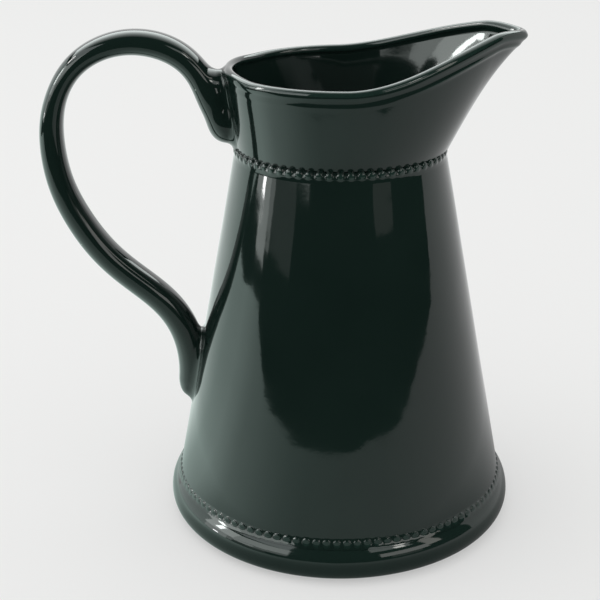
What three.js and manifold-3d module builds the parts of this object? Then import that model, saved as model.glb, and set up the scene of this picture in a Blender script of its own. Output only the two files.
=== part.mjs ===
// A beaded, glazed ceramic pitcher: conical body, rounded foot, collar with a drawn spout, strap handle.
// Millimetres, +Z up. The pitcher stands on z = 0, the spout points along +X and the handle along -X.
import * as THREE from 'three';
import { mergeVertices } from 'three/addons/utils/BufferGeometryUtils.js';
import Module from 'manifold-3d';

const wasm = await Module();
wasm.setup();

// ---- driving dimensions -------------------------------------------------------------------------
const WALL = 4.4;                    // thickness of the cast wall
const SEAM = 0.15;                   // clearance between pieces that stand side by side
const CUT_GAP = 0.3;                 // clearance left where the handle is trimmed to the body
const AROUND = 72;                   // facets round the body

const FOOT_R = 82.5;                 // widest point of the rounded foot
const FOOT_EQUATOR_Z = 8.3;          // height of that widest point
const FOOT_UPPER_ARC = 12;           // radius of the roll above the widest point
const FOOT_TOP_Z = 16.5;             // shoulder on which the lower beads sit
const FOOT_TUCK_R = 74.2;            // where the roll comes down to the table
const STAND_INNER_R = 66;            // inner edge of the bare standing ring
const STAND_TAPER = 1;               // how far that edge leans in over the recess
const RECESS = 3;                    // depth of the hollow under the base
const FLOOR_THICK = 5;

const BEAD_R = 1.65;                 // radius of one bead
const BEAD_PROUD = 1.5;              // how far a bead stands out from the wall
const BEAD_ROOT = 0.45;              // how far the band under the beads stands out
const BEAD_VALLEY = 0.1;             // how far the band bulges between two beads
const FOOT_BEADS = { count: 108, z: 18.8, wallR: 77.8 };
const NECK_BEADS = { count: 66, z: 178.8, wallR: 47.5 };
const COLLAR_Z = NECK_BEADS.z + BEAD_R;   // the collar stands on the neck just above the beads
const CONE_SLOPE = (FOOT_BEADS.wallR - NECK_BEADS.wallR) / (NECK_BEADS.z - FOOT_BEADS.z);

const ROLL_R = 2.2;                  // radius of the rolled rim
const ROLL_SEAT = 1.3;               // how far below its middle the roll is flat, to sit on the collar
const RIM_R = 46;                    // rim line at the sides, before the spout is drawn out
const RIM_BACK = 3.4;                // extra reach of the rim line at the handle
const SPOUT_REACH = 33.4;            // how far the rim line is drawn out at the spout
const SPOUT_AT_NECK = { width: 42, roundness: 0.6 };   // half width in degrees, keel bluntness
const SPOUT_AT_RIM = { width: 26, roundness: 0.1 };
const KEEL_START = 0.136;            // share of the spout's reach already there above the neck beads
const KEEL_BOW = 0.17;               // share that comes late, which bows its keel
const RIM_Z = 212.8;                 // rim line at the sides
const SPOUT_RISE = 19.4;             // rise of the rim line towards the spout
const RISE_LENGTH = 87;              // distance over which it rises
const TIP_DROOP = 4.1;               // fall of the rim line at the very tip
const DROOP_FROM = 65;
const DROOP_LENGTH = 20;
const BACK_LIFT = 1.2;               // small rise of the rim line where the handle springs from it
const BACK_LIFT_FROM = 38;
const BACK_LIFT_LENGTH = 12;
const OVERHANG = 0.3;                // how far the roll stands out over the collar's middle line
const COLLAR_NECK_R = 42.5;          // the collar's middle line at its foot, set back behind the beads
const COLLAR_NECK_BACK = 2.3;        // extra reach of that line at the handle
const NECK_THICKENS_Z = 160;         // above this the cone's wall thickens inwards to meet the collar
const EARLY_FLARE = 0.7;             // share of the collar's flare that is straight; the rest curls out
const COLLAR_THINNING = 1.2;         // how much thinner the collar's wall is under the roll, on the inside
const CROWDING = 0.5;                // how strongly the collar's facets gather at the spout

// Handle: middle line in the plane of symmetry from collar to cone, with its half thickness there.
const HANDLE_LINE = [
  { x: -46.0, z: 186.0, half: 5.7 },
  { x: -55.5, z: 197.0, half: 5.8 },
  { x: -63.8, z: 213.6, half: 5.8 },
  { x: -84.0, z: 226.0, half: 5.8 },
  { x: -105.0, z: 224.0, half: 5.3 },
  { x: -117.8, z: 215.5, half: 5.0 },
  { x: -124.7, z: 205.1, half: 4.9 },
  { x: -128.6, z: 192.0, half: 5.3 },
  { x: -128.9, z: 176.2, half: 5.7 },
  { x: -127.0, z: 164.4, half: 5.9 },
  { x: -121.2, z: 148.9, half: 6.2 },
  { x: -102.7, z: 122.9, half: 6.5 },
  { x: -76.9, z: 97.0, half: 6.8 },
  { x: -70.7, z: 79.0, half: 7.0 },
  { x: -70.2, z: 66.0, half: 7.1 },
];
const HANDLE_HALF_WIDTH = 8;
const HANDLE_SQUARENESS = 2.3;       // exponent of the strap's rounded section
const UPPER_PAD = { x: -52.3, z: 190.6, rx: 6.7, ry: 8.4, rz: 8.7 };
const UPPER_WEB = { x: -54.5, z: 204.5, rx: 6, ry: 6.4, rz: 9.5 };   // fills the crotch below the rim
const LOWER_PAD = { x: -70.0, z: 64.0, rx: 7.3, ry: 8.6, rz: 9.4 };
const UPPER_JOINT_X = -62;           // the strap is luted to its upper root here
const LOWER_JOINT_X = -84;           // and to its lower root here
const MID_HANDLE_Z = 150;            // a height between the two roots
const ABOVE_RIM = 1.25;              // share of the collar's height that clears the rolled rim
const HANDLE_STEPS = 44;
const HANDLE_SIDES = 16;

const glaze = new THREE.MeshStandardMaterial({ color: 0x12261e, roughness: 0.12, metalness: 0 });
const bareClay = new THREE.MeshStandardMaterial({ color: 0xcdc3b0, roughness: 0.85, metalness: 0 });

// ---- small helpers ------------------------------------------------------------------------------
const point = (r, z) => new THREE.Vector2(r, z);

function smoothStep(value) {
  const t = Math.min(1, Math.max(0, value));
  return t * t * (3 - 2 * t);
}

/** Points of a circular arc in the (radius, height) plane, angles in degrees. */
function arc(centreR, centreZ, radius, from, to, steps) {
  const points = [];
  for (let i = 0; i <= steps; i += 1) {
    const angle = THREE.MathUtils.degToRad(from + ((to - from) * i) / steps);
    points.push(point(centreR + radius * Math.cos(angle), centreZ + radius * Math.sin(angle)));
  }
  return points;
}

/** Turns a profile, listed with the outside going up, round the Z axis. */
function turned(profile, segments = AROUND) {
  const geometry = new THREE.LatheGeometry(profile, segments);
  geometry.rotateX(Math.PI / 2);
  return geometry;
}

function closedLoop(points) {
  return [...points, points[0].clone()];
}

/** Moves every vertex of a geometry by a formula. */
function reshaped(geometry, formula) {
  const position = geometry.attributes.position;
  const vertex = new THREE.Vector3();
  for (let i = 0; i < position.count; i += 1) {
    vertex.fromBufferAttribute(position, i);
    formula(vertex);
    position.setXYZ(i, vertex.x, vertex.y, vertex.z);
  }
  return geometry;
}

/** Merges equal vertices, so that seams and poles close. */
function welded(geometry) {
  const bare = geometry.clone();
  bare.deleteAttribute('normal');
  bare.deleteAttribute('uv');
  const whole = mergeVertices(bare, 1e-4);
  const index = [...whole.index.array];
  const kept = [];
  for (let i = 0; i < index.length; i += 3) {
    const [a, b, c] = index.slice(i, i + 3);
    if (a !== b && b !== c && c !== a) kept.push(a, b, c);
  }
  whole.setIndex(kept);
  return whole;
}

function toSolid(geometry) {
  const whole = welded(geometry);
  const vertProperties = Float32Array.from(whole.attributes.position.array);
  const triVerts = Uint32Array.from(whole.index.array);
  return new wasm.Manifold(new wasm.Mesh({ numProp: 3, vertProperties, triVerts }));
}

function toGeometry(solid) {
  const mesh = solid.getMesh();
  const geometry = new THREE.BufferGeometry();
  geometry.setAttribute('position', new THREE.BufferAttribute(mesh.vertProperties, 3));
  geometry.setIndex(new THREE.BufferAttribute(mesh.triVerts, 1));
  geometry.computeVertexNormals();
  return geometry;
}

function namedMesh(name, geometry, material = glaze) {
  const mesh = new THREE.Mesh(geometry, material);
  mesh.name = name;
  return mesh;
}

const coneR = (z) => FOOT_BEADS.wallR - CONE_SLOPE * (z - FOOT_BEADS.z);

// ---- foot, floor and cone -----------------------------------------------------------------------
function footRoll() {
  const innerR = coneR(FOOT_TOP_Z) - WALL;
  const lowerArc = FOOT_EQUATOR_Z;
  const shoulder = Math.asin((FOOT_TOP_Z - FOOT_EQUATOR_Z) / FOOT_UPPER_ARC);
  const outside = [
    point(innerR, 0),
    ...arc(FOOT_R - lowerArc, FOOT_EQUATOR_Z, lowerArc, -90, 0, 5),
    ...arc(FOOT_R - FOOT_UPPER_ARC, FOOT_EQUATOR_Z, FOOT_UPPER_ARC, 0,
      THREE.MathUtils.radToDeg(shoulder), 4).slice(1),
    point(innerR, FOOT_TOP_Z),
  ];
  return namedMesh('foot_roll', turned(closedLoop(outside)));
}

function baseFloor() {
  const edgeR = coneR(FOOT_TOP_Z) - WALL - SEAM;
  const topZ = RECESS + FLOOR_THICK;
  const filletR = FOOT_TOP_Z - topZ;
  const profile = [
    point(0, RECESS),
    point(edgeR, RECESS),
    ...arc(edgeR - filletR, FOOT_TOP_Z, filletR, 0, -90, 4),
    point(0, topZ),
  ];
  return namedMesh('base_floor', turned(profile));
}

function standingRing() {
  const outerR = coneR(FOOT_TOP_Z) - WALL - SEAM;
  const profile = [
    point(STAND_INNER_R, 0),
    point(outerR, 0),
    point(outerR, RECESS),
    point(STAND_INNER_R - STAND_TAPER, RECESS),
  ];
  return namedMesh('standing_ring', turned(closedLoop(profile)), bareClay);
}

function bodyWall() {
  const profile = [
    point(coneR(FOOT_TOP_Z) - WALL, FOOT_TOP_Z),
    point(coneR(FOOT_TOP_Z), FOOT_TOP_Z),
    point(NECK_BEADS.wallR, NECK_BEADS.z),
    point(NECK_BEADS.wallR, COLLAR_Z),
    point(COLLAR_NECK_R - WALL / 2, COLLAR_Z),
    point(coneR(NECK_THICKENS_Z) - WALL, NECK_THICKENS_Z),
  ];
  return namedMesh('body_wall', turned(closedLoop(profile)));
}

// ---- bead bands ---------------------------------------------------------------------------------
/** A thin band round the wall whose outer face swells into a row of beads, two facets to a bead. */
function beadBand(name, { count, z, wallR }, bottomZ) {
  const topZ = z + BEAD_R;
  const innerR = coneR(bottomZ) + SEAM;
  const lowR = wallR + BEAD_ROOT + SEAM;
  const peakR = wallR + BEAD_PROUD;
  const profile = [
    point(innerR, bottomZ),
    point(lowR, bottomZ),
    point(peakR, z),
    point(lowR, topZ),
    point(innerR, topZ),
  ];
  const band = reshaped(turned(closedLoop(profile), 2 * count), (vertex) => {
    const r = Math.hypot(vertex.x, vertex.y);
    if (r < (lowR + peakR) / 2) return;
    const bead = Math.round((Math.atan2(vertex.y, vertex.x) / Math.PI) * count);
    const keep = bead % 2 === 0 ? 1 : (lowR + BEAD_VALLEY) / peakR;
    vertex.x *= keep;
    vertex.y *= keep;
  });
  return namedMesh(name, band);
}

// ---- collar, spout and rim ----------------------------------------------------------------------
/** Share of the spout's pull at an angle from the spout's own direction, at share t of the height. */
function spoutShare(angle, t) {
  const width = THREE.MathUtils.lerp(SPOUT_AT_NECK.width, SPOUT_AT_RIM.width, t);
  const roundness = THREE.MathUtils.lerp(SPOUT_AT_NECK.roundness, SPOUT_AT_RIM.roundness, t);
  const turn = angle / THREE.MathUtils.degToRad(width);
  return Math.exp(roundness - Math.hypot(roundness, turn));
}

function rimRadius(angle) {
  const back = Math.abs(angle) > Math.PI / 2 ? RIM_BACK * Math.cos(angle) ** 2 : 0;
  return RIM_R + back + SPOUT_REACH * spoutShare(angle, 1);
}

function rimHeight(angle) {
  const x = rimRadius(angle) * Math.cos(angle);
  const rise = SPOUT_RISE * smoothStep(x / RISE_LENGTH);
  const droop = TIP_DROOP * smoothStep((x - DROOP_FROM) / DROOP_LENGTH);
  const lift = BACK_LIFT * smoothStep((-x - BACK_LIFT_FROM) / BACK_LIFT_LENGTH);
  return RIM_Z + rise - droop + lift;
}

/** Middle line of the collar wall at share t of its height, from the neck beads to the rim line. */
function collarRadius(angle, t) {
  const back = Math.abs(angle) > Math.PI / 2 ? COLLAR_NECK_BACK * Math.cos(angle) ** 2 : 0;
  const neckR = COLLAR_NECK_R + back;
  const keel = KEEL_START + (1 - KEEL_START - KEEL_BOW) * t + KEEL_BOW * t ** 4;
  const plainRim = rimRadius(angle) - SPOUT_REACH * spoutShare(angle, 1);
  const flare = (plainRim - OVERHANG - neckR) * (EARLY_FLARE * t + (1 - EARLY_FLARE) * t * t);
  return neckR + flare + SPOUT_REACH * keel * spoutShare(angle, t);
}

/** Places a vertex beside a closed outline given in polar form, keeping an even thickness. */
function placeBeside(vertex, radiusAt, offset, z) {
  const turn = Math.atan2(vertex.y, vertex.x);
  const angle = turn - CROWDING * Math.sin(turn);
  const step = 1e-4;
  const slope = (radiusAt(angle + step) - radiusAt(angle - step)) / (2 * step);
  const radius = radiusAt(angle);
  const length = Math.hypot(radius, slope);
  const along = (offset * radius) / length;
  const across = (-offset * slope) / length;
  const cos = Math.cos(angle);
  const sin = Math.sin(angle);
  vertex.set((radius + along) * cos - across * sin, (radius + along) * sin + across * cos, z(angle));
}

const REFERENCE_R = 100;             // radius at which the collar's flat profile is drawn
const REFERENCE_H = 10;              // height that stands for the whole collar
const COLLAR_OUTSIDE = [0, 0.05, 0.14, 0.3, 0.5, 0.7, 0.86, 1];   // shares of its height, going up
const COLLAR_INSIDE = [1, 0.8, 0.6, 0.35, 0.12, 0];               // and coming down again

/** A collar-shaped solid from a profile of (offset from the middle line, share of height). */
function drawnCollar(profile) {
  const flat = profile.map(([offset, t]) => point(REFERENCE_R + offset, REFERENCE_H * t));
  return reshaped(turned(flat), (vertex) => {
    const offset = Math.hypot(vertex.x, vertex.y) - REFERENCE_R;
    const t = vertex.z / REFERENCE_H;
    const onAxis = offset < 1 - REFERENCE_R;
    if (onAxis) {
      vertex.set(0, 0, THREE.MathUtils.lerp(COLLAR_Z, RIM_Z, t));
      return;
    }
    const height = (angle) => THREE.MathUtils.lerp(COLLAR_Z, rimHeight(angle) - ROLL_SEAT - SEAM, t);
    placeBeside(vertex, (angle) => collarRadius(angle, t), offset, height);
  });
}

function collarSpout() {
  const half = WALL / 2;
  const outside = COLLAR_OUTSIDE.map((t) => [half, t]);
  const inside = COLLAR_INSIDE.map((t) => [COLLAR_THINNING * t * t - half, t]);
  return namedMesh('collar_spout', drawnCollar([...outside, ...inside, [half, 0]]));
}

/** The rolled rim: a round bead of clay with a flat underside, carried round the rim line. */
function rimRoll() {
  const seatAngle = THREE.MathUtils.radToDeg(Math.asin(ROLL_SEAT / ROLL_R));
  const profile = arc(REFERENCE_R, 0, ROLL_R, -seatAngle, 180 + seatAngle, 8);
  const roll = reshaped(turned(closedLoop(profile)), (vertex) => {
    const offset = Math.hypot(vertex.x, vertex.y) - REFERENCE_R;
    const lift = vertex.z;
    placeBeside(vertex, rimRadius, offset, (angle) => rimHeight(angle) + lift);
  });
  return namedMesh('rim_roll', roll);
}

// ---- handle -------------------------------------------------------------------------------------
const handleCurve = new THREE.CatmullRomCurve3(
  HANDLE_LINE.map(({ x, z }) => new THREE.Vector3(x, 0, z)), false, 'centripetal');

function handleHalfThickness(s) {
  const place = s * (HANDLE_LINE.length - 1);
  const i = Math.min(HANDLE_LINE.length - 2, Math.floor(place));
  return THREE.MathUtils.lerp(HANDLE_LINE[i].half, HANDLE_LINE[i + 1].half, place - i);
}

/** The strap: a closed cylinder bent along the middle line, with a rounded oval section. */
function strap() {
  const stock = new THREE.CylinderGeometry(1, 1, 1, HANDLE_SIDES, HANDLE_STEPS);
  return reshaped(stock, (vertex) => {
    const s = vertex.y + 0.5;
    const middle = handleCurve.getPoint(s);
    const along = handleCurve.getTangent(s);
    const reach = Math.hypot(vertex.x, vertex.z);
    const powers = Math.abs(vertex.x) ** HANDLE_SQUARENESS + Math.abs(vertex.z) ** HANDLE_SQUARENESS;
    const square = reach > 0.5 ? powers ** (-1 / HANDLE_SQUARENESS) : 0;
    const inward = vertex.z * square * handleHalfThickness(s);
    const sideways = -vertex.x * square * HANDLE_HALF_WIDTH;
    vertex.set(middle.x + along.z * -inward, sideways, middle.z + along.x * inward);
  });
}

function pad({ x, z, rx, ry, rz }) {
  const ball = new THREE.SphereGeometry(1, 16, 12);
  ball.rotateX(Math.PI / 2);
  ball.scale(rx, ry, rz);
  ball.translate(x, 0, z);
  return toSolid(ball);
}

/** Everything that the handle's ends must not enter: the filled body, beads, collar and rim. */
function bodyForTrimming() {
  const beadR = NECK_BEADS.wallR + BEAD_PROUD + CUT_GAP;
  const lower = turned([
    point(0, FOOT_TOP_Z),
    point(coneR(FOOT_TOP_Z) + CUT_GAP, FOOT_TOP_Z),
    point(coneR(NECK_BEADS.z - BEAD_R) + CUT_GAP, NECK_BEADS.z - BEAD_R),
    point(beadR, NECK_BEADS.z - BEAD_R),
    point(beadR, COLLAR_Z + CUT_GAP),
    point(0, COLLAR_Z + CUT_GAP),
  ]);
  const half = WALL / 2 + CUT_GAP;
  const collar = drawnCollar([
    [-REFERENCE_R, 0],
    ...COLLAR_OUTSIDE.map((t) => [half, t]),
    [ROLL_R + CUT_GAP, 1],
    [ROLL_R + CUT_GAP, ABOVE_RIM],
    [-REFERENCE_R, ABOVE_RIM],
  ]);
  return toSolid(lower).add(toSolid(collar));
}

/** The strap between its joints, and the two roots that are luted to collar and cone. */
function handleParts() {
  const whole = toSolid(strap()).add(pad(UPPER_PAD)).add(pad(UPPER_WEB)).add(pad(LOWER_PAD));
  const trimmed = whole.subtract(bodyForTrimming());
  const [handle] = trimmed.decompose().sort((a, b) => b.volume() - a.volume());
  const upperRoot = handle.trimByPlane([1, 0, 0], UPPER_JOINT_X).trimByPlane([0, 0, 1], MID_HANDLE_Z);
  const lowerRoot = handle.trimByPlane([1, 0, 0], LOWER_JOINT_X).trimByPlane([0, 0, -1], -MID_HANDLE_Z);
  const loop = handle.subtract(upperRoot).subtract(lowerRoot);
  return [
    namedMesh('handle_loop', toGeometry(loop)),
    namedMesh('handle_upper_root', toGeometry(upperRoot)),
    namedMesh('handle_lower_root', toGeometry(lowerRoot)),
  ];
}

const pitcher = new THREE.Group();
pitcher.add(
  baseFloor(),
  standingRing(),
  footRoll(),
  beadBand('foot_bead_band', FOOT_BEADS, FOOT_TOP_Z),
  bodyWall(),
  beadBand('neck_bead_band', NECK_BEADS, NECK_BEADS.z - BEAD_R),
  collarSpout(),
  rimRoll(),
  ...handleParts(),
);

// The origin is on the table, under the middle of the pitcher's footprint.
const extent = new THREE.Box3().setFromObject(pitcher);
pitcher.position.x = -(extent.min.x + extent.max.x) / 2;

export default pitcher;
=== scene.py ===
"""A beaded, dark green glazed pitcher on a pale sweep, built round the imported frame.

Shapes are worked out in millimetres about the body's own upright axis, with the spout along +X,
the handle along -X and the table at z = 0. add_piece() turns them into metres in the row frame.
"""
import math

import bmesh
import bpy
import numpy as np
from mathutils import Matrix, Vector


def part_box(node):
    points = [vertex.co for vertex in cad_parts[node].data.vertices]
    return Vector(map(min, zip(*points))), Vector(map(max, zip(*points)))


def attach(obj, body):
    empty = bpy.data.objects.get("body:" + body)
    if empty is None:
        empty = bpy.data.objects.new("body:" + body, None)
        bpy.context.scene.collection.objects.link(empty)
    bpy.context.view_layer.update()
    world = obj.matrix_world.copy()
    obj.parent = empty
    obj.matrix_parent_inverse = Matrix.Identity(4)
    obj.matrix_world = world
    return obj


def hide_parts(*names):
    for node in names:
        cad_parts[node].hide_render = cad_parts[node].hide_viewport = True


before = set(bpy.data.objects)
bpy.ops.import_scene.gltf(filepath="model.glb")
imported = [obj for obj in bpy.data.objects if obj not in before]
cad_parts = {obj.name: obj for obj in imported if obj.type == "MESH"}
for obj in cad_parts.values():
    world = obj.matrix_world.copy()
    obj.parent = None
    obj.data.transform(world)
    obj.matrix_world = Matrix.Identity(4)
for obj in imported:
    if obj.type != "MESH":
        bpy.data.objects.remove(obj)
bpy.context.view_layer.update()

# ---- dimensions read from the frame ---------------------------------------------------------------
MM = 0.001


def half_width(node):
    low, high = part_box(node)
    return (high[0] - low[0]) / 2 / MM


def top_of(node):
    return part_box(node)[1][2] / MM


AXIS_X = sum(corner[0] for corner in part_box("body_wall")) / 2
BEAD_R = 1.65
BEAD_PROUD = 1.5
FOOT_R = half_width("foot_roll")
FOOT_TOP_Z = top_of("foot_roll")
FOOT_BEAD_Z = top_of("foot_bead_band") - BEAD_R
FOOT_WALL_R = half_width("foot_bead_band") - BEAD_PROUD
NECK_BEAD_Z = top_of("neck_bead_band") - BEAD_R
NECK_WALL_R = half_width("neck_bead_band") - BEAD_PROUD
COLLAR_Z = top_of("body_wall")
RING_OUTER_R = half_width("standing_ring")
RECESS = top_of("standing_ring")

# ---- dimensions shared with the part --------------------------------------------------------------
WALL = 4.4
FOOT_BEADS = 108
NECK_BEADS = 66
FOOT_EQUATOR_Z = 8.3
FOOT_UPPER_ARC = 12
RING_INNER_R = 66
FLOOR_TOP_Z = 8
ROLL_R = 2.2
SKIN_INSET = 0.08                    # how far the roll and strap skins lie inside the part
ROLL_SEAT = 1.45
RIM_R = 46
RIM_BACK = 3.4
RIM_Z = 212.8
SPOUT_REACH = 33.4
SPOUT_AT_NECK = (42, 0.6)            # half width in degrees, and bluntness of the keel
SPOUT_AT_RIM = (26, 0.1)
KEEL_START = 0.136
KEEL_BOW = 0.17
SPOUT_RISE = 19.4
RISE_LENGTH = 87
TIP_DROOP = 4.1
DROOP_FROM = 65
DROOP_LENGTH = 20
BACK_LIFT = 1.2
BACK_LIFT_FROM = 38
BACK_LIFT_LENGTH = 12
OVERHANG = 0.3
COLLAR_NECK_R = 42.5
COLLAR_NECK_BACK = 2.3
NECK_THICKENS_Z = 160
EARLY_FLARE = 0.7
COLLAR_THINNING = 1.2
CONE_SLOPE = (FOOT_WALL_R - NECK_WALL_R) / (NECK_BEAD_Z - FOOT_BEAD_Z)

# Handle: middle line in the plane of symmetry from collar to cone, with its half thickness there.
HANDLE_LINE = [
    (-46.0, 186.0, 5.7), (-55.5, 197.0, 5.8), (-63.8, 213.6, 5.8), (-84.0, 226.0, 5.8),
    (-105.0, 224.0, 5.3), (-117.8, 215.5, 5.0), (-124.7, 205.1, 4.9), (-128.6, 192.0, 5.3),
    (-128.9, 176.2, 5.7), (-127.0, 164.4, 5.9), (-121.2, 148.9, 6.2), (-102.7, 122.9, 6.5),
    (-76.9, 97.0, 6.8), (-70.7, 79.0, 7.0), (-70.2, 66.0, 7.1),
]
HANDLE_HALF_WIDTH = 8
HANDLE_SQUARENESS = 2.3
HANDLE_END = 11                      # length of the strap's rounded end
UPPER_PAD = ((-52.3, 0, 190.6), (6.7, 8.4, 8.7))
UPPER_WEB = ((-54.5, 0, 204.0), (6.4, 7.2, 9.5))
UPPER_JOINT_X = -62
LOWER_JOINT_X = -84
MID_HANDLE_Z = 150

# ---- fineness and finish --------------------------------------------------------------------------
AROUND = 480                         # columns round collar and rim
GLAZE_FILLET = 3.6                   # radius of the clay and glaze drawn into the handle's corners
WEB_BLEND = 2.1                      # softness of the blend between strap and the web under the rim
PAD_BLEND = 1.7                      # the same for the pad at the strap's upper end
GROOVE_FILLET = 0.9                  # the same in the groove under the rolled rim
LIP_ROUND = 2.0                      # rounding of the wall's inner top edge
GLAZE_SOFTNESS = 0.3                 # how softly the glaze runs up onto a bead, in millimetres
NECK_STEP = 1.6                      # height over which the wall steps back behind the neck beads
NET_STEP = 0.9                       # cell of the net that the handle is skinned with
SKIN_DEPTH = 1.2                     # how deep the handle's roots are let into the wall
SKIN_LAP = 0.015                     # how far a fillet dips under the wall before it ends
STEP = 1e-3                          # for derivatives, in millimetres or radians


# ---- the body as a distance function --------------------------------------------------------------
def smooth_step(value):
    t = np.clip(value, 0, 1)
    return t * t * (3 - 2 * t)


def round_union(a, b, radius):
    """Joins two distances with a round fillet in the corner."""
    corner = np.hypot(np.maximum(radius - a, 0), np.maximum(radius - b, 0))
    return np.maximum(radius, np.minimum(a, b)) - corner


def soft_union(a, b, blend):
    """Joins two distances so smoothly that reflections run over the join without a kink."""
    return np.minimum(a, b) - blend * np.log1p(np.exp(-np.abs(a - b) / blend))


def round_cut(a, b, radius):
    """Keeps what two distances share, with the edge rounded over."""
    return -round_union(-a, -b, radius)


def cone_radius(z):
    return FOOT_WALL_R - CONE_SLOPE * (z - FOOT_BEAD_Z)


def spout_share(angle, t):
    width = np.radians(SPOUT_AT_NECK[0] + (SPOUT_AT_RIM[0] - SPOUT_AT_NECK[0]) * t)
    roundness = SPOUT_AT_NECK[1] + (SPOUT_AT_RIM[1] - SPOUT_AT_NECK[1]) * t
    return np.exp(roundness - np.hypot(roundness, angle / width))


def rim_radius(angle):
    back = np.where(np.abs(angle) > np.pi / 2, RIM_BACK * np.cos(angle) ** 2, 0)
    return RIM_R + back + SPOUT_REACH * spout_share(angle, 1)


def rim_height(angle):
    x = rim_radius(angle) * np.cos(angle)
    rise = SPOUT_RISE * smooth_step(x / RISE_LENGTH)
    droop = TIP_DROOP * smooth_step((x - DROOP_FROM) / DROOP_LENGTH)
    lift = BACK_LIFT * smooth_step((-x - BACK_LIFT_FROM) / BACK_LIFT_LENGTH)
    return RIM_Z + rise - droop + lift


def unevenness(angle, z):
    """Slow waves that casting and firing leave in the wall."""
    waves = [(2, 0.031, 0.4, 0.050), (3, -0.052, 2.1, 0.045), (5, 0.071, 4.0, 0.030),
             (7, -0.113, 0.9, 0.020), (11, 0.149, 5.2, 0.012), (4, 0.190, 3.3, 0.014)]
    return sum(size * np.sin(turns * angle + rise * z + start) for turns, rise, start, size in waves)


def collar_middle(angle, z):
    """Middle of the collar's wall, which keeps its foot's shape below the collar."""
    top = rim_height(angle) - ROLL_SEAT
    t = np.clip((z - COLLAR_Z) / (top - COLLAR_Z), 0, 1.1)
    neck = COLLAR_NECK_R + np.where(np.abs(angle) > np.pi / 2, COLLAR_NECK_BACK * np.cos(angle) ** 2, 0)
    keel = KEEL_START + (1 - KEEL_START - KEEL_BOW) * t + KEEL_BOW * t ** 4
    plain_rim = rim_radius(angle) - SPOUT_REACH * spout_share(angle, 1)
    flare = (plain_rim - OVERHANG - neck) * (EARLY_FLARE * t + (1 - EARLY_FLARE) * t * t)
    return neck + flare + SPOUT_REACH * keel * spout_share(angle, t)


def middle_radius(angle, z):
    """Middle of the wall from the foot to the rim, with a rounded step back behind the neck beads."""
    below = np.where(z < NECK_BEAD_Z, cone_radius(z), NECK_WALL_R) - WALL / 2
    collar_share = smooth_step((z - NECK_BEAD_Z) / NECK_STEP)
    return below + collar_share * (collar_middle(angle, z) - below) + unevenness(angle, z)


def inside_fill(angle, z):
    """Extra thickness inside: the cone closes in smoothly to the collar, which thins towards its rim."""
    below = cone_radius(z) - WALL / 2
    share = smooth_step((z - NECK_THICKENS_Z) / (COLLAR_Z - NECK_THICKENS_Z))
    wanted = below + share * (collar_middle(angle, z) - below)
    t = np.clip((z - COLLAR_Z) / (rim_height(angle) - ROLL_SEAT - COLLAR_Z), 0, 1)
    return middle_radius(angle, z) - unevenness(angle, z) - wanted - COLLAR_THINNING * t * t


RIDGE = 0.42                         # height of the soft ridge under the roll, beside the spout
RIDGE_DROP = 4.7                     # its distance below the rim line
RIDGE_WIDTH = 1.0


def ridge(angle, z):
    strength = 0.12 + 0.88 * smooth_step((np.cos(angle) - 0.45) / 0.4)
    drop = (rim_height(angle) - z - RIDGE_DROP) / RIDGE_WIDTH
    return RIDGE * strength * np.exp(-drop * drop)


def wall_distance(radius, angle, z):
    middle = middle_radius(angle, z)
    turn = (middle_radius(angle + STEP, z) - middle_radius(angle - STEP, z)) / (2 * STEP)
    rise = (middle_radius(angle, z + STEP) - middle_radius(angle, z - STEP)) / (2 * STEP)
    lean = np.hypot(1, turn / radius)
    half = WALL / 2 + np.where(radius > middle, ridge(angle, z), inside_fill(angle, z))
    return (np.abs(radius - middle) / lean - half) / np.hypot(1, rise / lean)


def roll_distance(radius, angle, z):
    line = rim_radius(angle)
    turn = (rim_radius(angle + STEP) - rim_radius(angle - STEP)) / (2 * STEP)
    rise = (rim_height(angle + STEP) - rim_height(angle - STEP)) / (2 * STEP)
    lean = np.hypot(1, turn / radius)
    slope = rise / np.hypot(line, turn)
    across = (radius - line) / lean
    above = (z - rim_height(angle)) / np.hypot(1, slope)
    return np.hypot(across, above) - ROLL_R + SKIN_INSET


def body_distance(x, y, z):
    """Distance to the cone, collar, spout and rolled rim."""
    radius = np.maximum(np.hypot(x, y), 1)
    angle = np.arctan2(y, x)
    wall = round_cut(wall_distance(radius, angle, z), z - rim_height(angle), LIP_ROUND)
    return round_union(wall, roll_distance(radius, angle, z), GROOVE_FILLET)


# ---- the handle as a distance function ------------------------------------------------------------
FAIRING = 300                        # how strongly the middle line is smoothed
FAIR_POINTS = 320


def fair_line():
    """The handle's middle line as evenly spaced points with the least change of curvature."""
    stations = np.array(HANDLE_LINE)
    chords = np.hypot(*np.diff(stations[:, :2], axis=0).T)
    place = np.concatenate([[0], np.cumsum(chords)]) / chords.sum() * (FAIR_POINTS - 1)
    left = np.minimum(place.astype(int), FAIR_POINTS - 2)
    weights = np.zeros((len(stations), FAIR_POINTS))
    weights[np.arange(len(stations)), left] = 1 - (place - left)
    weights[np.arange(len(stations)), left + 1] = place - left
    jerk = np.diff(np.eye(FAIR_POINTS), 3, axis=0)
    return np.linalg.solve(weights.T @ weights + FAIRING * jerk.T @ jerk, weights.T @ stations)


LINE = fair_line()
LINE_SLOPE = np.gradient(LINE, axis=0)


def line_point(place):
    """Point, thickness and slope of the middle line at a fractional index."""
    i = np.clip(place.astype(int), 0, FAIR_POINTS - 2)
    f = (place - i)[..., None]
    p, q, u, v = LINE[i], LINE[i + 1], LINE_SLOPE[i], LINE_SLOPE[i + 1]
    value = (2 * f**3 - 3 * f**2 + 1) * p + (f**3 - 2 * f**2 + f) * u
    value = value + (3 * f**2 - 2 * f**3) * q + (f**3 - f**2) * v
    slope = (6 * f**2 - 6 * f) * (p - q) + (3 * f**2 - 4 * f + 1) * u + (3 * f**2 - 2 * f) * v
    return value, slope


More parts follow.
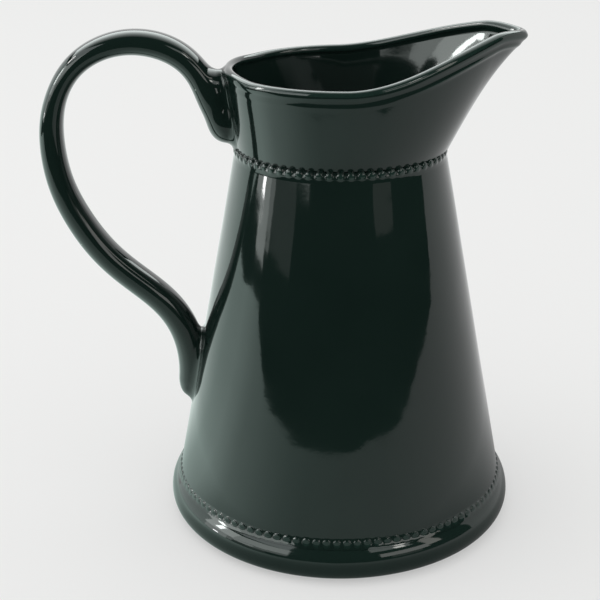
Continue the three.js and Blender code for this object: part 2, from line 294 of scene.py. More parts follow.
def nearest_place(x, z):
    away = (x[..., None] - LINE[:, 0]) ** 2 + (z[..., None] - LINE[:, 1]) ** 2
    place = np.argmin(away, axis=-1).astype(float)
    for _ in range(3):
        value, slope = line_point(place)
        along = (x - value[..., 0]) * slope[..., 0] + (z - value[..., 1]) * slope[..., 1]
        place = np.clip(place + along / (slope[..., 0] ** 2 + slope[..., 1] ** 2), 0, FAIR_POINTS - 1)
    return place


def strap_distance(x, y, z):
    value, slope = line_point(nearest_place(x, z))
    length = np.hypot(slope[..., 0], slope[..., 1])
    dx, dz = x - value[..., 0], z - value[..., 1]
    inward = np.abs(dx * slope[..., 1] - dz * slope[..., 0]) / length / value[..., 2]
    past = np.abs(dx * slope[..., 0] + dz * slope[..., 1]) / length / HANDLE_END
    across = np.abs(y) / HANDLE_HALF_WIDTH
    n = HANDLE_SQUARENESS
    size = np.maximum((inward**n + across**n + past**n) ** (1 / n), 0.05)
    steep_inward = (inward / size) ** (n - 1) / value[..., 2]
    steep_across = (across / size) ** (n - 1) / HANDLE_HALF_WIDTH
    steep = np.hypot(steep_inward, steep_across)
    steep = np.hypot(steep, (past / size) ** (n - 1) / HANDLE_END)
    return (size - 1) / np.maximum(steep, 0.04) + SKIN_INSET


def pad_distance(x, y, z, pad):
    centre, radii = pad
    scaled = [(v - c) / r for v, c, r in zip((x, y, z), centre, radii)]
    size = np.sqrt(sum(s * s for s in scaled))
    steep = np.sqrt(sum((s / r) ** 2 for s, r in zip(scaled, radii)))
    return size * (size - 1) / np.maximum(steep, 1e-3)


def handle_distance(x, y, z):
    web = pad_distance(x, y, z, UPPER_WEB)
    pad = pad_distance(x, y, z, UPPER_PAD)
    return soft_union(soft_union(strap_distance(x, y, z), web, WEB_BLEND), pad, PAD_BLEND)


def joined_distance(x, y, z):
    return round_union(handle_distance(x, y, z), body_distance(x, y, z), GLAZE_FILLET)


def handle_skin(x, y, z):
    """The handle with its fillets, ending just inside the wall that it grows from."""
    handle = handle_distance(x, y, z)
    body = body_distance(x, y, z)
    joined = round_union(handle, body, GLAZE_FILLET) + SKIN_LAP
    return np.maximum(np.maximum(joined, -body - SKIN_DEPTH), handle - GLAZE_FILLET - 0.4)


# ---- surface tools --------------------------------------------------------------------------------
def gradient(distance, points):
    x, y, z = points.T
    return np.stack([
        distance(x + STEP, y, z) - distance(x - STEP, y, z),
        distance(x, y + STEP, z) - distance(x, y - STEP, z),
        distance(x, y, z + STEP) - distance(x, y, z - STEP),
    ], axis=1) / (2 * STEP)


def settle(distance, points, rounds=4):
    """Moves points onto the surface where the distance is zero."""
    points = points.copy()
    for _ in range(rounds):
        slope = gradient(distance, points)
        steep = np.maximum((slope * slope).sum(1), 0.05)
        move = distance(*points.T) / steep
        points -= np.clip(move, -1, 1)[:, None] * slope
    return points


def normals_of(distance, points):
    slope = gradient(distance, points)
    return slope / np.linalg.norm(slope, axis=1)[:, None]


def bulge_of(distance, points, reach=0.25):
    """How strongly a surface bulges out, where a running glaze stays thin."""
    x, y, z = points.T
    around = sum(distance(x + s * i, y + s * j, z + s * k)
                 for s in (-reach, reach) for i, j, k in ((1, 0, 0), (0, 1, 0), (0, 0, 1)))
    return (around - 6 * distance(x, y, z)) / reach**2


def skin_net(distance, low, high, step):
    """Quads over the surface where a distance is zero, inside a box of cells."""
    axes = [np.arange(a, b + step, step) for a, b in zip(low, high)]
    value = distance(axes[0][:, None, None], axes[1][None, :, None], axes[2][None, None, :])
    value = np.broadcast_to(value, [len(a) for a in axes])
    cells = [len(a) - 1 for a in axes]
    total = np.zeros([*cells, 3])
    count = np.zeros(cells)
    for axis in range(3):
        first = value.take(range(cells[axis]), axis)
        second = value.take(range(1, cells[axis] + 1), axis)
        crossed = (first < 0) != (second < 0)
        share = np.where(crossed, first / np.where(crossed, first - second, 1), 0)
        spot = np.zeros([*crossed.shape, 3])
        for other in range(3):
            shape = [1, 1, 1]
            shape[other] = -1
            line = axes[other][:crossed.shape[other]].reshape(shape)
            spot[..., other] = line + (share * step if other == axis else 0)
        spot *= crossed[..., None]
        one, two = [a for a in range(3) if a != axis]
        for i in (0, 1):
            for j in (0, 1):
                window = [slice(None)] * 3
                window[one] = slice(i, i + cells[one])
                window[two] = slice(j, j + cells[two])
                total += spot[tuple(window)]
                count += crossed[tuple(window)]
    used = count > 0
    number = np.full(cells, -1)
    number[used] = np.arange(used.sum())
    points = total[used] / count[used][:, None]
    quads = []
    for axis in range(3):
        one, two = (axis + 1) % 3, (axis + 2) % 3
        inner = [slice(None)] * 3
        inner[one] = slice(1, -1)
        inner[two] = slice(1, -1)
        first = value.take(range(cells[axis]), axis)[tuple(inner)] < 0
        second = value.take(range(1, cells[axis] + 1), axis)[tuple(inner)] < 0
        corners = []
        for i, j in ((0, 0), (1, 0), (1, 1), (0, 1)):
            window = [slice(None)] * 3
            window[one] = slice(i, i + cells[one] - 1)
            window[two] = slice(j, j + cells[two] - 1)
            corners.append(number[tuple(window)])
        corners = np.stack(corners, -1)
        quads.append(corners[first & ~second])
        quads.append(corners[~first & second][:, ::-1])
    return points, np.concatenate(quads)


def relaxed(distance, points, quads, rounds=6):
    """Evens out a net's cells while its points stay on the surface."""
    edges = np.concatenate([quads[:, [0, 1]], quads[:, [1, 2]], quads[:, [2, 3]], quads[:, [3, 0]]])
    degree = np.bincount(edges.ravel(), minlength=len(points))[:, None]
    for _ in range(rounds):
        total = np.zeros_like(points)
        np.add.at(total, edges[:, 0], points[edges[:, 1]])
        np.add.at(total, edges[:, 1], points[edges[:, 0]])
        pull = total / degree - points
        normal = normals_of(distance, points)
        pull -= (pull * normal).sum(1)[:, None] * normal
        points = settle(distance, points + 0.5 * pull, 1)
    return settle(distance, points, 2)


# ---- making pieces --------------------------------------------------------------------------------
def add_piece(name, node, material, points, faces, normals=None, smooth=None, thin=None):
    """A mesh object for one piece. normals are per point, and smooth says which faces use them."""
    mesh = bpy.data.meshes.new(name)
    placed = np.asarray(points) * MM + np.array([AXIS_X, 0, 0])
    mesh.from_pydata(placed.tolist(), [], [[int(i) for i in face] for face in faces])
    mesh.shade_smooth()
    if normals is not None:
        corner_point = np.zeros(len(mesh.loops), dtype=np.int32)
        mesh.loops.foreach_get("vertex_index", corner_point)
        corner_normal = np.asarray(normals)[corner_point]
        flat = np.zeros(len(mesh.polygons) * 3)
        mesh.polygons.foreach_get("normal", flat)
        sides = np.zeros(len(mesh.polygons), dtype=np.int32)
        mesh.polygons.foreach_get("loop_total", sides)
        hidden = np.repeat(~np.asarray(smooth), sides)
        corner_normal[hidden] = np.repeat(flat.reshape(-1, 3), sides, axis=0)[hidden]
        mesh.normals_split_custom_set(corner_normal.tolist())
    if thin is not None:
        layer = mesh.attributes.new("thin", "FLOAT", "POINT")
        layer.data.foreach_set("value", np.asarray(thin, dtype=np.float32))
    mesh.materials.append(material)
    piece = bpy.data.objects.new(name, mesh)
    bpy.context.scene.collection.objects.link(piece)
    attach(piece, "root")
    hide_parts(node)
    return piece


def grid_normals(rows):
    """Normals of a band of rings, from its own rings only, so that its ends stay smooth."""
    along = np.roll(rows, -1, axis=1) - np.roll(rows, 1, axis=1)
    up = np.gradient(rows, axis=0)
    normal = np.cross(along, up)
    return normal / np.linalg.norm(normal, axis=2)[..., None]


def band_piece(name, node, material, bands, normals=None, thin=None):
    """A closed ring-shaped piece. Each band is rings of points, seen; straight faces join the bands."""
    columns = bands[0].shape[1]
    rows = np.concatenate(bands)
    if normals is None:
        normals = [grid_normals(band) for band in bands]
    normals = np.concatenate(normals).reshape(-1, 3)
    seen = np.concatenate([np.arange(len(band)) < len(band) - 1 for band in bands])
    ring = np.arange(len(rows))[:, None] * columns
    here, above = ring, np.roll(ring, -1, axis=0)
    left = np.arange(columns)[None, :]
    right = (left + 1) % columns
    faces = np.stack([here + left, here + right, above + right, above + left], -1).reshape(-1, 4)
    smooth = np.repeat(seen, columns)
    if thin is None:
        thin = np.zeros(rows.shape[0] * columns)
    return add_piece(name, node, material, rows.reshape(-1, 3), faces, normals, smooth, thin)


def turned(profile, columns):
    """Rings of points from a profile of (radius, height)."""
    profile = np.asarray(profile, dtype=float)
    angle = np.arange(columns) * 2 * np.pi / columns
    radius, height = profile[:, 0, None], profile[:, 1, None]
    return np.stack([radius * np.cos(angle), radius * np.sin(angle), height + 0 * angle], -1)


def arc(centre_r, centre_z, radius, start, end, steps):
    angle = np.radians(np.linspace(start, end, steps + 1))
    return np.stack([centre_r + radius * np.cos(angle), centre_z + radius * np.sin(angle)], 1)


# ---- materials ------------------------------------------------------------------------------------
class Nodes:
    """Short hand for building a material's node tree."""

    def __init__(self, name):
        self.material = bpy.data.materials.new(name)
        self.material.use_nodes = True
        self.tree = self.material.node_tree
        self.shader = self.tree.nodes["Principled BSDF"]

    def add(self, kind, inputs=(), **settings):
        node = self.tree.nodes.new(kind)
        for key, value in settings.items():
            setattr(node, key, value)
        for key, value in dict(inputs).items():
            if isinstance(value, bpy.types.NodeSocket):
                self.tree.links.new(value, node.inputs[key])
            else:
                node.inputs[key].default_value = value
        return node

    def link(self, socket, name):
        self.tree.links.new(socket, self.shader.inputs[name])

    def noise(self, where, scale, detail=2.0):
        inputs = {"Vector": where, "Scale": scale, "Detail": detail}
        return self.add("ShaderNodeTexNoise", inputs).outputs["Fac"]

    def remap(self, value, low, high, to_low=0.0, to_high=1.0):
        inputs = {"Value": value, "From Min": low, "From Max": high, "To Min": to_low, "To Max": to_high}
        return self.add("ShaderNodeMapRange", inputs).outputs["Result"]

    def math(self, operation, a, b):
        return self.add("ShaderNodeMath", {0: a, 1: b}, operation=operation).outputs[0]

    def mix(self, share, a, b):
        node = self.add("ShaderNodeMix", data_type="RGBA")
        for index, value in ((0, share), (6, a), (7, b)):
            if isinstance(value, bpy.types.NodeSocket):
                self.tree.links.new(value, node.inputs[index])
            else:
                node.inputs[index].default_value = value
        return node.outputs[2]


def glaze_material():
    nodes = Nodes("green_glaze")
    where = nodes.add("ShaderNodeTexCoord").outputs["Object"]
    thin = nodes.add("ShaderNodeAttribute", attribute_name="thin").outputs["Fac"]
    drift = nodes.remap(nodes.noise(where, 14, 3), 0.35, 0.65)
    body = nodes.mix(drift, (0.0062, 0.0134, 0.0110, 1), (0.0078, 0.0164, 0.0134, 1))
    patchy = nodes.math("MULTIPLY", thin, nodes.remap(nodes.noise(where, 900, 2), 0.3, 0.7, 0.6, 1.0))
    colour = nodes.mix(patchy, body, (0.0130, 0.0290, 0.0235, 1))
    # Pinholes: small pale specks where the glaze has burst, a few on the whole pot.
    cells = nodes.add("ShaderNodeTexVoronoi", {"Vector": where, "Scale": 55.0})
    close = nodes.remap(cells.outputs["Distance"], 0.026, 0.018)
    chosen = nodes.add("ShaderNodeSeparateColor", {"Color": cells.outputs["Color"]}).outputs["Red"]
    speck = nodes.math("MULTIPLY", close, nodes.math("GREATER_THAN", chosen, 0.86))
    nodes.link(nodes.mix(speck, colour, (0.22, 0.26, 0.23, 1)), "Base Color")
    cloud = nodes.remap(nodes.noise(where, 40, 2), 0.3, 0.7, 0.035, 0.075)
    nodes.link(nodes.math("ADD", cloud, nodes.math("MULTIPLY", speck, 0.3)), "Roughness")
    slow = nodes.add("ShaderNodeBump", {"Height": nodes.noise(where, 70, 1), "Strength": 0.5,
                                        "Distance": 0.00016})
    fine = nodes.add("ShaderNodeBump", {"Height": nodes.noise(where, 620, 1), "Strength": 0.4,
                                        "Distance": 0.000012, "Normal": slow.outputs["Normal"]})
    pits = nodes.add("ShaderNodeBump", {"Height": speck, "Strength": 0.6, "Distance": 0.00005,
                                        "Normal": fine.outputs["Normal"]}, invert=True)
    nodes.link(pits.outputs["Normal"], "Normal")
    nodes.shader.inputs["IOR"].default_value = 1.52
    return nodes.material


def clay_material():
    nodes = Nodes("bare_clay")
    where = nodes.add("ShaderNodeTexCoord").outputs["Object"]
    drift = nodes.remap(nodes.noise(where, 60, 4), 0.35, 0.65)
    grain = nodes.remap(nodes.noise(where, 1500, 3), 0.4, 0.62)
    colour = nodes.mix(drift, (0.66, 0.58, 0.47, 1), (0.55, 0.47, 0.36, 1))
    colour = nodes.mix(nodes.math("MULTIPLY", grain, 0.35), colour, (0.36, 0.29, 0.21, 1))
    nodes.link(colour, "Base Color")
    nodes.link(nodes.remap(grain, 0, 1, 0.78, 0.92), "Roughness")
    bump = nodes.add("ShaderNodeBump", {"Height": grain, "Strength": 0.5, "Distance": 0.00008})
    nodes.link(bump.outputs["Normal"], "Normal")
    return nodes.material


GLAZE = glaze_material()
CLAY = clay_material()


# ---- the pieces -----------------------------------------------------------------------------------
def cone_body():
    columns = 320
    angle = np.arange(columns) * 2 * np.pi / columns

    def rings(heights, side):
        z = np.asarray(heights)[:, None]
        radius = middle_radius(angle[None, :], z) + side * WALL / 2
        if side < 0:
            radius = radius - inside_fill(angle[None, :], z)
        return np.stack([radius * np.cos(angle), radius * np.sin(angle), z + 0 * angle], -1)

    step = np.linspace(NECK_BEAD_Z, COLLAR_Z, 9)[1:]
    outer = rings([*np.linspace(FOOT_TOP_Z, NECK_BEAD_Z, 110), *step], 1)
    inner = rings([COLLAR_Z, *np.linspace(NECK_BEAD_Z, FOOT_TOP_Z, 60)], -1)
    band_piece("cone_body", "body_wall", GLAZE, [outer, inner])


def foot_moulding():
    inner_r = cone_radius(FOOT_TOP_Z) - WALL
    shoulder = math.degrees(math.asin((FOOT_TOP_Z - FOOT_EQUATOR_Z) / FOOT_UPPER_ARC))
    lower = arc(FOOT_R - FOOT_EQUATOR_Z, FOOT_EQUATOR_Z, FOOT_EQUATOR_Z, -90, 0, 22)
    upper = arc(FOOT_R - FOOT_UPPER_ARC, FOOT_EQUATOR_Z, FOOT_UPPER_ARC, 0, shoulder, 12)[1:]
    wall_r = cone_radius(FOOT_TOP_Z)
    ledge = [(wall_r + 0.7, FOOT_TOP_Z + 0.35), (wall_r + 0.1, FOOT_TOP_Z + 0.4)]
    profile = np.concatenate([[(inner_r, 0)], lower, upper, ledge])
    rows = turned(profile, 320)
    angle = np.arctan2(rows[..., 1], rows[..., 0])
    rows[..., :2] *= (1 + unevenness(angle, rows[..., 2]) / FOOT_R)[..., None]
    thin = np.repeat(0.25 * smooth_step((profile[:, 1] - FOOT_EQUATOR_Z) / 6), 320)
    band_piece("foot_moulding", "foot_roll", GLAZE, [rows], thin=thin)


def bead_band(name, node, count, bead_z, seed, low, high, glaze_at, prominence, softness):
    """Beads on the wall, each a little different, half drowned in the glaze that has run round them."""
    per_bead, rows = 16, 34
    columns = count * per_bead
    chance = np.random.default_rng(seed)
    size = 1 + chance.normal(0, 0.03, count)
    shift = chance.normal(0, 0.05, count)
    lift = chance.normal(0, 0.04, count)
    tall = 1 + chance.normal(0, 0.05, count)
    angle = np.arange(columns) * 2 * np.pi / columns
    bead = np.round(angle / (2 * np.pi) * count).astype(int) % count
    z = np.linspace(low, high, rows)[:, None]
    wall = middle_radius(angle[None, :], z) + WALL / 2
    seat = middle_radius(angle, bead_z) + WALL / 2
    turn = np.angle(np.exp(1j * (angle - bead * 2 * np.pi / count)))
    beside = turn * seat - shift[bead]
    reach = np.hypot(beside, z - bead_z - lift[bead]) / (BEAD_R * size[bead])
    cap = 1 - reach * reach
    height = np.sqrt((cap + np.hypot(cap, softness)) / 2)
    cap_height = BEAD_PROUD * prominence * np.minimum(tall[bead] * height, 1)
    bead_radius = seat + cap_height - 3 * np.maximum(-cap, 0)
    glazed = wall + glaze_at(z)
    radius = (bead_radius + glazed + np.hypot(bead_radius - glazed, GLAZE_SOFTNESS)) / 2 - GLAZE_SOFTNESS / 2
    radius = np.minimum(radius, wall.max() + BEAD_PROUD - 0.02)
    outer = np.stack([radius * np.cos(angle), radius * np.sin(angle), z + 0 * angle], -1)
    inner = turned([(wall.min() - 0.9, z[-1, 0]), (wall.min() - 0.9, z[0, 0])], columns)
    thin = smooth_step(height * 1.15 - 0.25)
    thin = np.concatenate([thin.ravel(), np.zeros(2 * columns)])
    band_piece(name, node, GLAZE, [outer, inner], thin=thin)


def collar_and_rim():
    """Collar, spout and rolled rim as one skin, parted under the roll where the glaze hides the join."""
    even = np.arange(AROUND) * 2 * np.pi / AROUND
    angle = even - 0.5 * np.sin(even)
    angle = np.where(angle > np.pi, angle - 2 * np.pi, angle)
    line, height = rim_radius(angle), rim_height(angle)
    turn = (rim_radius(angle + STEP) - rim_radius(angle - STEP)) / (2 * STEP)
    lean = np.arctan2(turn, line)

    def ring_at(out, up):
        """A ring beside the rim line: out across it in plan, up from it."""
        x = line * np.cos(angle) + out * np.cos(angle - lean)
        y = line * np.sin(angle) + out * np.sin(angle - lean)
        return np.stack([x, y, height + up], -1)

    def wall_ring(share, side):
        z = COLLAR_Z + share * (height - ROLL_SEAT - COLLAR_Z)
        radius = middle_radius(angle, z)
        slope = (middle_radius(angle + STEP, z) - middle_radius(angle - STEP, z)) / (2 * STEP)
        tilt = np.arctan2(slope, radius)
        x = radius * np.cos(angle) + side * WALL / 2 * np.cos(angle - tilt)
        y = radius * np.sin(angle) + side * WALL / 2 * np.sin(angle - tilt)
        return np.stack([x, y, z], -1)

    seam_share = 0.9
    lower = [wall_ring(share, 1) for share in np.linspace(0, seam_share, 44)]
    upper = [wall_ring(share, 1) for share in np.linspace(seam_share, 0.985, 7)]
    section = np.radians(np.linspace(-58, 176, 27))
    roll = [ring_at(ROLL_R * math.cos(a), ROLL_R * math.sin(a)) for a in section]
    lip = [ring_at(-ROLL_R - 0.5, -0.35), ring_at(-ROLL_R - 0.9, -0.9), ring_at(-ROLL_R - 1.1, -1.6)]
    inner_upper = [wall_ring(share, -1) for share in np.linspace(0.965, seam_share, 4)]
    inner_lower = [wall_ring(share, -1) for share in np.linspace(seam_share, 0, 34)]

    def skin(rings):
        rows = np.array(rings)
        points = settle(body_distance, rows.reshape(-1, 3), 6)
        normal = normals_of(body_distance, points)
        bulge = bulge_of(body_distance, points)
        return points.reshape(rows.shape), normal, smooth_step((bulge - 0.12) / 0.45)

    def piece(name, node, groups):
        bands, normals, thin = zip(*[skin(group) for group in groups])
        band_piece(name, node, GLAZE, list(bands), list(normals), np.concatenate(thin))

    piece("collar_with_spout", "collar_spout", [lower, inner_lower])
    piece("rolled_rim", "rim_roll", [upper + roll + lip + inner_upper])


def base_plate():
    """The floor: a disc with a hollow fillet inside, recessed and glazed underneath."""
    edge_r = cone_radius(FOOT_TOP_Z) - WALL
    fillet = FOOT_TOP_Z - FLOOR_TOP_Z
    columns = 200
    under = [(r, RECESS) for r in (0, 10, 25, 40, 55, RING_INNER_R, edge_r)]
    above = [*arc(edge_r - fillet, FOOT_TOP_Z, fillet, 0, -90, 10), (45, FLOOR_TOP_Z), (20, FLOOR_TOP_Z),
             (0, FLOOR_TOP_Z)]
    rows = turned(under + [tuple(p) for p in above], columns)
    mesh = bmesh.new()
    grid = [[mesh.verts.new(p) for p in row] for row in rows]
    for low, high in zip(grid, grid[1:]):
        for i in range(columns):
            j = (i + 1) % columns
            mesh.faces.new((low[j], low[i], high[i], high[j]))
    bmesh.ops.remove_doubles(mesh, verts=mesh.verts, dist=1e-4)
    bmesh.ops.recalc_face_normals(mesh, faces=mesh.faces)
    mesh.verts.index_update()
    points = [tuple(v.co) for v in mesh.verts]
    faces = [[v.index for v in f.verts] for f in mesh.faces]
    mesh.free()
    thin = np.zeros(len(points))
    plate = add_piece("base_plate", "base_floor", GLAZE, points, faces, thin=thin)
    plate.data.set_sharp_from_angle(angle=math.radians(35))


def bare_foot_ring():
    """The unglazed ring the pitcher stands on, with softened edges."""
    soft = 0.7
    inner, outer = RING_INNER_R, RING_OUTER_R
    inner_edge = arc(inner + soft, soft, soft, -180, -90, 5)
    outer_edge = arc(outer - soft, soft, soft, 0, -90, 4)[::-1]
    band = turned([*inner_edge, *outer_edge, (outer, RECESS)], 240)
    band_piece("bare_foot_ring", "standing_ring", CLAY, [band])


def handle():
    """Strap and both roots as one skin with filleted corners, then parted where they were luted."""
    line_low = [LINE[:, 0].min() - 10, -14, LINE[:, 1].min() - 24]
    line_high = [-40, 14, LINE[:, 1].max() + 10]
    points, quads = skin_net(handle_skin, line_low, line_high, NET_STEP)
    points = relaxed(handle_skin, points, quads)
    whole = bmesh.new()
    verts = [whole.verts.new(p) for p in points]
    for quad in quads:
        whole.faces.new([verts[i] for i in quad])
    skin = whole.faces.layers.int.new("skin")
    for face in whole.faces:
        face[skin] = 1
    parts = {
        "handle_strap": "handle_loop",
        "upper_handle_root": "handle_upper_root",
        "lower_handle_root": "handle_lower_root",
    }
    for x, upper in ((LOWER_JOINT_X, False), (UPPER_JOINT_X, True)):
        near = [f for f in whole.faces if (f.calc_center_median().z > MID_HANDLE_Z) == upper]
        geometry = near + list({e for f in near for e in f.edges}) + list({v for f in near for v in f.verts})
        bmesh.ops.bisect_plane(whole, geom=geometry, dist=1e-5, plane_co=(x, 0, 0), plane_no=(1, 0, 0))

    def owner(face):
        centre = face.calc_center_median()
        if centre.z > MID_HANDLE_Z:
            return "upper_handle_root" if centre.x > UPPER_JOINT_X else "handle_strap"
        return "lower_handle_root" if centre.x > LOWER_JOINT_X else "handle_strap"

    owners = [owner(face) for face in whole.faces]
    for name, node in parts.items():
        part = whole.copy()
        part.faces.ensure_lookup_table()
        lost = [face for face, kept in zip(part.faces, owners) if kept != name]
        bmesh.ops.delete(part, geom=lost, context="FACES")
        open_edges = [e for e in part.edges if e.is_boundary]
        bmesh.ops.holes_fill(part, edges=open_edges)
        bmesh.ops.triangulate(part, faces=[f for f in part.faces if len(f.verts) > 4])
        part.verts.index_update()
        part.faces.index_update()
        spots = np.array([v.co[:] for v in part.verts])
        faces = [[v.index for v in f.verts] for f in part.faces]
        skin = part.faces.layers.int["skin"]
        smooth = np.array([f[skin] == 1 for f in part.faces])
        part.free()
        bulge = bulge_of(joined_distance, spots)
        add_piece(name, node, GLAZE, spots, faces, normals_of(joined_distance, spots), smooth,
                  smooth_step((bulge - 0.22) / 0.6) * 0.7)
    whole.free()


# ---- the studio -----------------------------------------------------------------------------------
PALE = (0.46, 0.46, 0.457)
FLOOR_GLOW = 0.425                   # keeps the contact shadow as light as it is under a big soft box


def plain_material(name, colour, strength=None):
    material = bpy.data.materials.new(name)
    material.use_nodes = True
    shader = material.node_tree.nodes["Principled BSDF"]
    shader.inputs["Base Color"].default_value = (*colour, 1)
    shader.inputs["Roughness"].default_value = 0.9
    shader.inputs["Specular IOR Level"].default_value = 0.1
    if strength is not None:
        shader.inputs["Base Color"].default_value = (0, 0, 0, 1)
        shader.inputs["Specular IOR Level"].default_value = 0
        shader.inputs["Emission Color"].default_value = (*colour, 1)
        shader.inputs["Emission Strength"].default_value = strength
    return material


def stage_mesh(name, points, faces, material):
    mesh = bpy.data.meshes.new(name)
    mesh.from_pydata(points, [], faces)
    mesh.materials.append(material)
    thing = bpy.data.objects.new(name, mesh)
    bpy.context.scene.collection.objects.link(thing)
    return thing


def reflected_only(thing):
    """Placed about the pitcher's axis and seen in its glaze only, without lighting anything."""
    thing.visible_camera = False
    thing.visible_diffuse = False
    thing.visible_shadow = False
    thing.visible_transmission = False
    thing.location.x = AXIS_X


def card(name, corners, material):
    reflected_only(stage_mesh(name, corners, [list(range(len(corners)))], material))


def upright(x0, y0, x1, y1, z0, z1):
    return [(x0, y0, z0), (x1, y1, z0), (x1, y1, z1), (x0, y0, z1)]


# What the table gives back to the glaze, by direction from the pitcher: degrees from the camera's side
# (minus is left), brightness and how far towards green it leans.
TABLE_GLOW = [(-180, 1.00, 0.2), (-150, 1.20, 0.5), (-128, 1.45, 0.7), (-108, 1.50, 1.0), (-91, 1.90, 1.0),
              (-82, 1.75, 1.0), (-72, 1.38, 1.0), (-60, 1.18, 1.0), (-48, 0.92, 1.0), (-36, 0.68, 1.0),
              (-24, 0.54, 0.9), (0, 0.46, 0.6), (26, 0.46, 0.3), (60, 0.56, 0.0), (95, 0.68, 0.0),
              (140, 0.80, 0.0), (180, 1.00, 0.2)]
GLOW_SCALE = 2.5                     # the ramp holds colours up to 1, and the emission scales them up


def table_material():
    """A lit table that fades with direction and is shaded close to the pitcher."""
    nodes = Nodes("reflected_table")
    where = nodes.add("ShaderNodeTexCoord").outputs["Object"]
    split = nodes.add("ShaderNodeSeparateXYZ", {"Vector": where})
    towards = nodes.math("MULTIPLY", split.outputs["Y"], -1.0)
    turn = nodes.math("ARCTAN2", split.outputs["X"], towards)
    ramp = nodes.add("ShaderNodeValToRGB", {"Fac": nodes.remap(turn, -math.pi, math.pi)})
    stops = ramp.color_ramp.elements
    while len(stops) < len(TABLE_GLOW):
        stops.new(0.5)
    for stop, (degrees, glow, green) in zip(stops, TABLE_GLOW):
        stop.position = (degrees + 180) / 360
    for stop, (degrees, glow, green) in zip(stops, TABLE_GLOW):
        level = glow / GLOW_SCALE
        stop.color = (level * (1 - 0.2 * green), level, level * (1 - 0.07 * green), 1)
    away = nodes.add("ShaderNodeVectorMath", {0: where}, operation="LENGTH").outputs["Value"]
    shade = nodes.remap(away, 0.08, 0.17, 0.35, 1.0)
    shader = nodes.shader
    shader.inputs["Base Color"].default_value = (0, 0, 0, 1)
    shader.inputs["Specular IOR Level"].default_value = 0
    nodes.link(ramp.outputs["Color"], "Emission Color")
    nodes.link(nodes.math("MULTIPLY", shade, GLOW_SCALE), "Emission Strength")
    return nodes.material


def ceiling_material():
    """A ceiling that grows lighter towards the wall behind."""
    nodes = Nodes("pale_ceiling")
    split = nodes.add("ShaderNodeSeparateXYZ", {"Vector": nodes.add("ShaderNodeTexCoord").outputs["Object"]})
    glow = nodes.remap(split.outputs["Y"], -0.6, 2.4, 0.0, 5.2)
    nodes.shader.inputs["Base Color"].default_value = (0, 0, 0, 1)
    nodes.shader.inputs["Specular IOR Level"].default_value = 0
    nodes.shader.inputs["Emission Color"].default_value = (0.93, 1.0, 0.98, 1)
    nodes.link(glow, "Emission Strength")
    return nodes.material


def window_card(name, left, right, low, high, strength, colour=(0.93, 1.0, 0.97), distance=2.4):
    """A bright upright card, given by directions from the pitcher's rim in degrees."""
    eye = 0.21
    ends = [(distance * math.sin(math.radians(turn)), -distance * math.cos(math.radians(turn)))
            for turn in (left, right)]
    heights = [eye + distance * math.tan(math.radians(rise)) for rise in (low, high)]
    card(name, upright(*ends[0], *ends[1], *heights), plain_material(name, colour, strength))


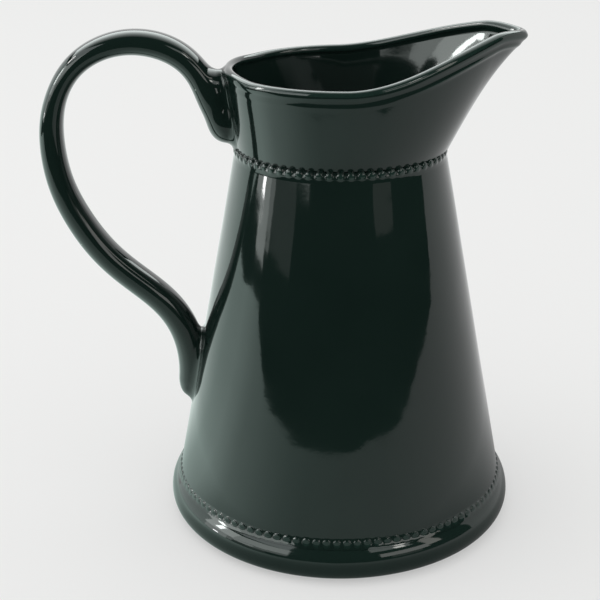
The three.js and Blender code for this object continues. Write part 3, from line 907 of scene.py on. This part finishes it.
def studio():
    floor_paint = plain_material("pale_floor", PALE)
    paint = floor_paint.node_tree.nodes["Principled BSDF"]
    paint.inputs["Specular IOR Level"].default_value = 0
    paint.inputs["Emission Color"].default_value = (1, 1, 0.995, 1)
    paint.inputs["Emission Strength"].default_value = FLOOR_GLOW
    corners = [(-40, -40, 0), (40, -40, 0), (40, 40, 0), (-40, 40, 0)]
    floor = stage_mesh("floor", corners, [(0, 1, 2, 3)], floor_paint)
    floor.visible_glossy = False
    # The table ends in front of the pitcher, with a dark room beyond it.
    edge = [(-1.0, 0.36), (-0.98, 0.12), (-1.15, -0.12), (-1.1, -0.3), (-0.72, -0.31), (-0.52, -0.30),
            (-0.40, -0.37), (-0.29, -0.42), (-0.17, -0.49), (0.0, -0.53), (0.10, -0.53), (0.19, -0.51),
            (0.26, -0.455), (0.34, -0.435), (0.44, -0.42), (0.56, -0.42), (0.72, -0.40), (0.86, -0.28),
            (1.3, -0.09), (9, 0.2)]
    outline = [(x, y, 0.0008) for x, y in edge] + [(9, 9, 0.0008), (-9, 9, 0.0008), (-9, 0.9, 0.0008)]
    card("reflected_table", outline, table_material())
    # A pale wall behind and at the sides, and windows in front.
    card("pale_wall_behind", upright(-5, 5, 5, 5, 0, 3), plain_material("pale_wall_behind", (1, 1, 1), 1.15))
    left_paint = plain_material("pale_wall_left", (0.88, 1, 0.97), 1.6)
    card("pale_wall_left", upright(-5, -0.2, -5, 5, 0, 3), left_paint)
    card("pale_wall_right", upright(5, -0.1, 5, 5, 0, 3), plain_material("pale_wall_right", (1, 1, 1), 0.75))
    card("pale_ceiling", [(-4, -0.6, 3), (4, -0.6, 3), (4, 5, 3), (-4, 5, 3)], ceiling_material())
    window_card("window_left_sill", -96, -88, -4.5, 7, 2.6)
    window_card("window_left_low", -88, -77, -6, 7, 2.7)
    window_card("window_left_edge", -77, -72, -4, 7, 1.6)
    window_card("window_left_pane", -98, -72, 7, 13, 4.5)
    window_card("window_left", -98, -72, 13, 27, 4.5)
    window_card("window_left_bright", -90, -85, 13, 25, 26, distance=2.2)
    window_card("window_left_middle", -72, -57, 2.5, 9, 2.8)
    window_card("window_left_blind", -57, -34, 2.5, 9, 1.3)
    window_card("window_left_upper", -72, -34, 9, 27, 3.0)
    window_card("window_left_front", -56, -48, 9, 22, 4.8, distance=2.3)
    window_card("window_left_top", -97, -36, 27, 45, 1.9, (0.93, 1.0, 1.0))
    window_card("lamp_left", -96, -91, 30, 38, 30, (1.0, 0.97, 0.95), 2.2)
    window_card("lamp_left_low", -88, -84, -3.5, -1.2, 24, (1.0, 1.0, 1.0), 2.2)
    window_card("window_left_dim", -72, -48, -3.5, 2.5, 0.32)
    window_card("window_right_top", 20, 50, 32, 45, 1.5)
    window_card("window_right_low", 24, 56, 6.6, 20, 1.9, (1.0, 1.0, 0.97))
    window_card("lamp_right", 38, 46, 33, 39, 9, (1.0, 1.0, 0.95), 2.2)
    window_card("window_right_dim", 31, 50, -0.5, 6, 0.3, (1.0, 1.0, 0.96))
    window_card("window_right_warm", 56, 66, 12, 48, 2.1, (1.0, 0.98, 0.92))

    def soft_light(name, place, towards, size, power):
        data = bpy.data.lights.new(name, "AREA")
        data.shape = "DISK"
        data.size = size
        data.energy = power
        lamp = bpy.data.objects.new(name, data)
        lamp.location = place
        lamp.rotation_euler = (Vector(towards) - Vector(place)).to_track_quat("-Z", "Y").to_euler()
        lamp.visible_glossy = False
        bpy.context.scene.collection.objects.link(lamp)

    soft_light("soft_key", (-1.15, 0.1, 2.2), (0, 0, 0.1), 2.6, 12)
    world = bpy.data.worlds.new("pale_studio")
    world.use_nodes = True
    world.node_tree.nodes["Background"].inputs["Color"].default_value = (0.86, 0.865, 0.86, 1)
    world.node_tree.nodes["Background"].inputs["Strength"].default_value = 0.95
    bpy.context.scene.world = world
    world.cycles_visibility.glossy = False
    bpy.context.scene.view_settings.view_transform = "Standard"


CAMERA_TURN = math.radians(1)        # the pitcher is turned this much from square to the view
CAMERA_PITCH = 0.39214               # radians below level
CAMERA_ROLL = -0.00729
CAMERA_PLACE = (-18.7, -582.15, 344.47)   # millimetres from the foot of the axis, before the turn
LENS = 80.06


def camera():
    data = bpy.data.cameras.new("camera")
    data.lens = LENS
    data.sensor_width = 36
    data.clip_start = 0.01
    turn = Matrix.Rotation(-CAMERA_TURN, 3, "Z")
    forward = turn @ Vector((0, math.cos(CAMERA_PITCH), -math.sin(CAMERA_PITCH)))
    right = turn @ Vector((1, 0, 0))
    up = right.cross(forward)
    tilt_right = math.cos(CAMERA_ROLL) * right + math.sin(CAMERA_ROLL) * up
    tilt_up = math.cos(CAMERA_ROLL) * up - math.sin(CAMERA_ROLL) * right
    view = bpy.data.objects.new("camera", data)
    axes = Matrix((tilt_right, tilt_up, -forward)).transposed()
    place = turn @ Vector(CAMERA_PLACE) * MM + Vector((AXIS_X, 0, 0))
    view.matrix_world = Matrix.Translation(place) @ axes.to_4x4()
    bpy.context.scene.collection.objects.link(view)
    bpy.context.scene.camera = view


camera()
studio()
cone_body()
foot_moulding()
base_plate()
bare_foot_ring()
bead_band("lower_beads", "foot_bead_band", FOOT_BEADS, FOOT_BEAD_Z, 11, FOOT_TOP_Z + 0.1, FOOT_BEAD_Z + 4,
          lambda z: 1.5 * np.exp((FOOT_TOP_Z - z) / 2.0), 0.42, 0.5)
bead_band("neck_beads", "neck_bead_band", NECK_BEADS, NECK_BEAD_Z, 12, NECK_BEAD_Z - 6, COLLAR_Z + 0.5,
          lambda z: 0.5 * np.exp(-np.abs(z - NECK_BEAD_Z + 1) / 1.9), 0.58, 0.4)
collar_and_rim()
handle()
